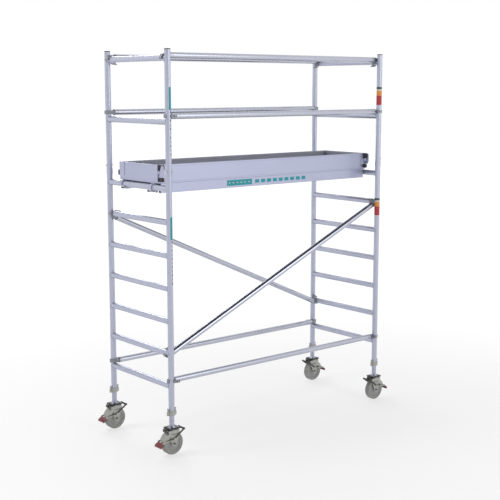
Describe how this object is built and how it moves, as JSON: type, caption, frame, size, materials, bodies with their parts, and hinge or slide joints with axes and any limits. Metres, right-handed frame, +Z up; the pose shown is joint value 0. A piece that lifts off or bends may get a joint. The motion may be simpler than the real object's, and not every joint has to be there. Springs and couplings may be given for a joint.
{
  "type": "mobile tower scaffold",
  "caption": "Narrow mobile access tower: aluminium ladder frames, platform with toe boards and hatch, guardrails, cross braces, height jacks and braked swivel castors.",
  "frame": {"origin": "on the floor, in the middle of the footprint of the four castors", "axes": "+X along the bay from the left frame to the right frame, +Y from front to back across the frames, +Z up"},
  "size_m": [2.8094, 0.992, 3.418],
  "materials": {
    "frame_aluminium": "extruded tube, lightly brushed along its length",
    "brace_aluminium": "extruded tube, smoother than the frames",
    "cast_aluminium": "die cast, fine grained and a little darker",
    "platform_aluminium": "mill finish extrusion, satin",
    "deck_plywood": "film faced plywood with a pressed anti-slip grid",
    "black_plastic": "moulded plastic, fine grain",
    "zinc_steel": "zinc plated pressed steel, slightly cloudy",
    "jack_steel": "galvanised threaded tube and plates",
    "grey_tyre": "grey non-marking tyre and moulded disc"
  },
  "bodies": {
    "root": {"ladder_frame_left": "frame_aluminium", "ladder_frame_right": "frame_aluminium", "guard_frame_left": "frame_aluminium", "guard_frame_right": "frame_aluminium", "spigots": "frame_aluminium", "lock_clips": "zinc_steel", "post_caps": "black_plastic", "guardrail_tops": "brace_aluminium", "guardrail_mids": "brace_aluminium", "base_rails": "brace_aluminium", "diagonals": "brace_aluminium", "brace_claws": "cast_aluminium", "platform_frame": "platform_aluminium", "platform_hooks": "cast_aluminium", "deck_panels": "deck_plywood", "toe_boards": "platform_aluminium", "toe_board_corners": "platform_aluminium", "hatch_hinges": "zinc_steel"},
    "jack_nut_front_left": {"jack_nut_front_left": "zinc_steel"},
    "jack_screw_front_left": {"jack_screw_front_left": "jack_steel"},
    "caster_fork_front_left": {"caster_fork_front_left": "zinc_steel"},
    "caster_wheel_front_left": {"caster_wheel_front_left": "grey_tyre"},
    "brake_rocker_front_left": {"brake_rocker_front_left": "zinc_steel"},
    "jack_nut_front_right": {"jack_nut_front_right": "zinc_steel"},
    "jack_screw_front_right": {"jack_screw_front_right": "jack_steel"},
    "caster_fork_front_right": {"caster_fork_front_right": "zinc_steel"},
    "caster_wheel_front_right": {"caster_wheel_front_right": "grey_tyre"},
    "brake_rocker_front_right": {"brake_rocker_front_right": "zinc_steel"},
    "jack_nut_back_left": {"jack_nut_back_left": "zinc_steel"},
    "jack_screw_back_left": {"jack_screw_back_left": "jack_steel"},
    "caster_fork_back_left": {"caster_fork_back_left": "zinc_steel"},
    "caster_wheel_back_left": {"caster_wheel_back_left": "grey_tyre"},
    "brake_rocker_back_left": {"brake_rocker_back_left": "zinc_steel"},
    "jack_nut_back_right": {"jack_nut_back_right": "zinc_steel"},
    "jack_screw_back_right": {"jack_screw_back_right": "jack_steel"},
    "caster_fork_back_right": {"caster_fork_back_right": "zinc_steel"},
    "caster_wheel_back_right": {"caster_wheel_back_right": "grey_tyre"},
    "brake_rocker_back_right": {"brake_rocker_back_right": "zinc_steel"},
    "trigger_guardrail_top_front_left": {"trigger_guardrail_top_front_left": "black_plastic"},
    "trigger_guardrail_top_front_right": {"trigger_guardrail_top_front_right": "black_plastic"},
    "trigger_guardrail_mid_front_left": {"trigger_guardrail_mid_front_left": "black_plastic"},
    "trigger_guardrail_mid_front_right": {"trigger_guardrail_mid_front_right": "black_plastic"},
    "trigger_base_rail_front_left": {"trigger_base_rail_front_left": "black_plastic"},
    "trigger_base_rail_front_right": {"trigger_base_rail_front_right": "black_plastic"},
    "trigger_diagonal_front_left": {"trigger_diagonal_front_left": "black_plastic"},
    "trigger_diagonal_front_right": {"trigger_diagonal_front_right": "black_plastic"},
    "trigger_guardrail_top_back_left": {"trigger_guardrail_top_back_left": "black_plastic"},
    "trigger_guardrail_top_back_right": {"trigger_guardrail_top_back_right": "black_plastic"},
    "trigger_guardrail_mid_back_left": {"trigger_guardrail_mid_back_left": "black_plastic"},
    "trigger_guardrail_mid_back_right": {"trigger_guardrail_mid_back_right": "black_plastic"},
    "trigger_base_rail_back_left": {"trigger_base_rail_back_left": "black_plastic"},
    "trigger_base_rail_back_right": {"trigger_base_rail_back_right": "black_plastic"},
    "trigger_diagonal_back_left": {"trigger_diagonal_back_left": "black_plastic"},
    "trigger_diagonal_back_right": {"trigger_diagonal_back_right": "black_plastic"},
    "wind_lock_front_left": {"wind_lock_front_left": "black_plastic"},
    "wind_lock_front_right": {"wind_lock_front_right": "black_plastic"},
    "wind_lock_back_left": {"wind_lock_back_left": "black_plastic"},
    "wind_lock_back_right": {"wind_lock_back_right": "black_plastic"},
    "hatch": {"hatch": "deck_plywood"},
    "hatch_latch": {"hatch_latch": "zinc_steel"}
  },
  "joints": [
    {"name": "jack_nut_front_left_turn", "type": "hinge", "parent": "root", "child": "jack_nut_front_left", "pos_m": [-1.25, -0.45, 0.3645], "axis": [0, 0, 1], "range_deg": [-3180, 10380]},
    {"name": "jack_screw_front_left_slide", "type": "slide", "parent": "root", "child": "jack_screw_front_left", "axis": [0, 0, -1], "range_m": [-0.07, 0.23]},
    {"name": "caster_front_left_swivel", "type": "hinge", "parent": "jack_screw_front_left", "child": "caster_fork_front_left", "pos_m": [-1.25, -0.45, 0.228], "axis": [0, 0, 1], "continuous": true},
    {"name": "caster_front_left_roll", "type": "hinge", "parent": "caster_fork_front_left", "child": "caster_wheel_front_left", "pos_m": [-1.25, -0.45, 0.1], "axis": [0, 1, 0], "continuous": true},
    {"name": "brake_front_left_rock", "type": "hinge", "parent": "caster_fork_front_left", "child": "brake_rocker_front_left", "pos_m": [-1.25, -0.45, 0.145], "axis": [0, 1, 0], "range_deg": [0, 20]},
    {"name": "jack_nut_front_right_turn", "type": "hinge", "parent": "root", "child": "jack_nut_front_right", "pos_m": [1.25, -0.45, 0.3645], "axis": [0, 0, 1], "range_deg": [-3180, 10380]},
    {"name": "jack_screw_front_right_slide", "type": "slide", "parent": "root", "child": "jack_screw_front_right", "axis": [0, 0, -1], "range_m": [-0.07, 0.23]},
    {"name": "caster_front_right_swivel", "type": "hinge", "parent": "jack_screw_front_right", "child": "caster_fork_front_right", "pos_m": [1.25, -0.45, 0.228], "axis": [0, 0, 1], "continuous": true},
    {"name": "caster_front_right_roll", "type": "hinge", "parent": "caster_fork_front_right", "child": "caster_wheel_front_right", "pos_m": [1.25, -0.45, 0.1], "axis": [0, 1, 0], "continuous": true},
    {"name": "brake_front_right_rock", "type": "hinge", "parent": "caster_fork_front_right", "child": "brake_rocker_front_right", "pos_m": [1.25, -0.45, 0.145], "axis": [0, -1, 0], "range_deg": [0, 20]},
    {"name": "jack_nut_back_left_turn", "type": "hinge", "parent": "root", "child": "jack_nut_back_left", "pos_m": [-1.25, 0.45, 0.3645], "axis": [0, 0, 1], "range_deg": [-3180, 10380]},
    {"name": "jack_screw_back_left_slide", "type": "slide", "parent": "root", "child": "jack_screw_back_left", "axis": [0, 0, -1], "range_m": [-0.07, 0.23]},
    {"name": "caster_back_left_swivel", "type": "hinge", "parent": "jack_screw_back_left", "child": "caster_fork_back_left", "pos_m": [-1.25, 0.45, 0.228], "axis": [0, 0, 1], "continuous": true},
    {"name": "caster_back_left_roll", "type": "hinge", "parent": "caster_fork_back_left", "child": "caster_wheel_back_left", "pos_m": [-1.25, 0.45, 0.1], "axis": [0, 1, 0], "continuous": true},
    {"name": "brake_back_left_rock", "type": "hinge", "parent": "caster_fork_back_left", "child": "brake_rocker_back_left", "pos_m": [-1.25, 0.45, 0.145], "axis": [0, 1, 0], "range_deg": [0, 20]},
    {"name": "jack_nut_back_right_turn", "type": "hinge", "parent": "root", "child": "jack_nut_back_right", "pos_m": [1.25, 0.45, 0.3645], "axis": [0, 0, 1], "range_deg": [-3180, 10380]},
    {"name": "jack_screw_back_right_slide", "type": "slide", "parent": "root", "child": "jack_screw_back_right", "axis": [0, 0, -1], "range_m": [-0.07, 0.23]},
    {"name": "caster_back_right_swivel", "type": "hinge", "parent": "jack_screw_back_right", "child": "caster_fork_back_right", "pos_m": [1.25, 0.45, 0.228], "axis": [0, 0, 1], "continuous": true},
    {"name": "caster_back_right_roll", "type": "hinge", "parent": "caster_fork_back_right", "child": "caster_wheel_back_right", "pos_m": [1.25, 0.45, 0.1], "axis": [0, 1, 0], "continuous": true},
    {"name": "brake_back_right_rock", "type": "hinge", "parent": "caster_fork_back_right", "child": "brake_rocker_back_right", "pos_m": [1.25, 0.45, 0.145], "axis": [0, -1, 0], "range_deg": [0, 20]},
    {"name": "trigger_guardrail_top_front_left_pull", "type": "hinge", "parent": "root", "child": "trigger_guardrail_top_front_left", "pos_m": [-1.209, -0.4, 3.308], "axis": [0, -1, 0], "range_deg": [0, 50], "stiffness_Nm_per_rad": 0.4, "springref_deg": -20.05},
    {"name": "trigger_guardrail_top_front_right_pull", "type": "hinge", "parent": "root", "child": "trigger_guardrail_top_front_right", "pos_m": [1.209, -0.4, 3.308], "axis": [0, 1, 0], "range_deg": [0, 50], "stiffness_Nm_per_rad": 0.4, "springref_deg": -20.05},
    {"name": "trigger_guardrail_mid_front_left_pull", "type": "hinge", "parent": "root", "child": "trigger_guardrail_mid_front_left", "pos_m": [-1.209, -0.486, 2.874], "axis": [0, 0, 1], "range_deg": [0, 50], "stiffness_Nm_per_rad": 0.4, "springref_deg": -20.05},
    {"name": "trigger_guardrail_mid_front_right_pull", "type": "hinge", "parent": "root", "child": "trigger_guardrail_mid_front_right", "pos_m": [1.209, -0.486, 2.874], "axis": [0, 0, -1], "range_deg": [0, 50], "stiffness_Nm_per_rad": 0.4, "springref_deg": -20.05},
    {"name": "trigger_base_rail_front_left_pull", "type": "hinge", "parent": "root", "child": "trigger_base_rail_front_left", "pos_m": [-1.209, -0.486, 0.643], "axis": [0, 0, 1], "range_deg": [0, 50], "stiffness_Nm_per_rad": 0.4, "springref_deg": -20.05},
    {"name": "trigger_base_rail_front_right_pull", "type": "hinge", "parent": "root", "child": "trigger_base_rail_front_right", "pos_m": [1.209, -0.486, 0.643], "axis": [0, 0, -1], "range_deg": [0, 50], "stiffness_Nm_per_rad": 0.4, "springref_deg": -20.05},
    {"name": "trigger_diagonal_front_left_pull", "type": "hinge", "parent": "root", "child": "trigger_diagonal_front_left", "pos_m": [-1.2273, -0.4, 0.92662], "axis": [0, 1, 0], "range_deg": [0, 50], "stiffness_Nm_per_rad": 0.4, "springref_deg": -20.05},
    {"name": "trigger_diagonal_front_right_pull", "type": "hinge", "parent": "root", "child": "trigger_diagonal_front_right", "pos_m": [1.19786, -0.4, 2.01309], "axis": [0, -1, 0], "range_deg": [0, 50], "stiffness_Nm_per_rad": 0.4, "springref_deg": -20.05},
    {"name": "trigger_guardrail_top_back_left_pull", "type": "hinge", "parent": "root", "child": "trigger_guardrail_top_back_left", "pos_m": [-1.209, 0.4, 3.308], "axis": [0, -1, 0], "range_deg": [0, 50], "stiffness_Nm_per_rad": 0.4, "springref_deg": -20.05},
    {"name": "trigger_guardrail_top_back_right_pull", "type": "hinge", "parent": "root", "child": "trigger_guardrail_top_back_right", "pos_m": [1.209, 0.4, 3.308], "axis": [0, 1, 0], "range_deg": [0, 50], "stiffness_Nm_per_rad": 0.4, "springref_deg": -20.05},
    {"name": "trigger_guardrail_mid_back_left_pull", "type": "hinge", "parent": "root", "child": "trigger_guardrail_mid_back_left", "pos_m": [-1.209, 0.486, 2.889], "axis": [0, 0, -1], "range_deg": [0, 50], "stiffness_Nm_per_rad": 0.4, "springref_deg": -20.05},
    {"name": "trigger_guardrail_mid_back_right_pull", "type": "hinge", "parent": "root", "child": "trigger_guardrail_mid_back_right", "pos_m": [1.209, 0.486, 2.889], "axis": [0, 0, 1], "range_deg": [0, 50], "stiffness_Nm_per_rad": 0.4, "springref_deg": -20.05},
    {"name": "trigger_base_rail_back_left_pull", "type": "hinge", "parent": "root", "child": "trigger_base_rail_back_left", "pos_m": [-1.209, 0.486, 0.643], "axis": [0, 0, -1], "range_deg": [0, 50], "stiffness_Nm_per_rad": 0.4, "springref_deg": -20.05},
    {"name": "trigger_base_rail_back_right_pull", "type": "hinge", "parent": "root", "child": "trigger_base_rail_back_right", "pos_m": [1.209, 0.486, 0.643], "axis": [0, 0, 1], "range_deg": [0, 50], "stiffness_Nm_per_rad": 0.4, "springref_deg": -20.05},
    {"name": "trigger_diagonal_back_left_pull", "type": "hinge", "parent": "root", "child": "trigger_diagonal_back_left", "pos_m": [-1.19786, 0.4, 2.01309], "axis": [0, 1, 0], "range_deg": [0, 50], "stiffness_Nm_per_rad": 0.4, "springref_deg": -20.05},
    {"name": "trigger_diagonal_back_right_pull", "type": "hinge", "parent": "root", "child": "trigger_diagonal_back_right", "pos_m": [1.2273, 0.4, 0.92662], "axis": [0, -1, 0], "range_deg": [0, 50], "stiffness_Nm_per_rad": 0.4, "springref_deg": -20.05},
    {"name": "wind_lock_front_left_swing", "type": "hinge", "parent": "root", "child": "wind_lock_front_left", "pos_m": [-1.2221, -0.199, 2.2421], "axis": [0, -1, 0], "range_deg": [0, 70], "stiffness_Nm_per_rad": 0.5, "springref_deg": -22.92},
    {"name": "wind_lock_front_right_swing", "type": "hinge", "parent": "root", "child": "wind_lock_front_right", "pos_m": [1.2221, -0.199, 2.2421], "axis": [0, 1, 0], "range_deg": [0, 70], "stiffness_Nm_per_rad": 0.5, "springref_deg": -22.92},
    {"name": "wind_lock_back_left_swing", "type": "hinge", "parent": "root", "child": "wind_lock_back_left", "pos_m": [-1.2221, 0.199, 2.2421], "axis": [0, -1, 0], "range_deg": [0, 70], "stiffness_Nm_per_rad": 0.5, "springref_deg": -22.92},
    {"name": "wind_lock_back_right_swing", "type": "hinge", "parent": "root", "child": "wind_lock_back_right", "pos_m": [1.2221, 0.199, 2.2421], "axis": [0, 1, 0], "range_deg": [0, 70], "stiffness_Nm_per_rad": 0.5, "springref_deg": -22.92},
    {"name": "hatch_lift", "type": "hinge", "parent": "root", "child": "hatch", "pos_m": [-0.7986, 0.254, 2.316], "axis": [-1, 0, 0], "range_deg": [0, 95]},
    {"name": "hatch_latch_turn", "type": "hinge", "parent": "hatch", "child": "hatch_latch", "pos_m": [-0.7986, -0.226, 2.306], "axis": [0, 0, -1], "range_deg": [0, 90]}
  ],
  "couplings": [
    {"joint": "jack_nut_front_left_turn", "follows": "jack_screw_front_left_slide", "rad_per_m": 785.4},
    {"joint": "jack_nut_front_right_turn", "follows": "jack_screw_front_right_slide", "rad_per_m": 785.4},
    {"joint": "jack_nut_back_left_turn", "follows": "jack_screw_back_left_slide", "rad_per_m": 785.4},
    {"joint": "jack_nut_back_right_turn", "follows": "jack_screw_back_right_slide", "rad_per_m": 785.4}
  ]
}
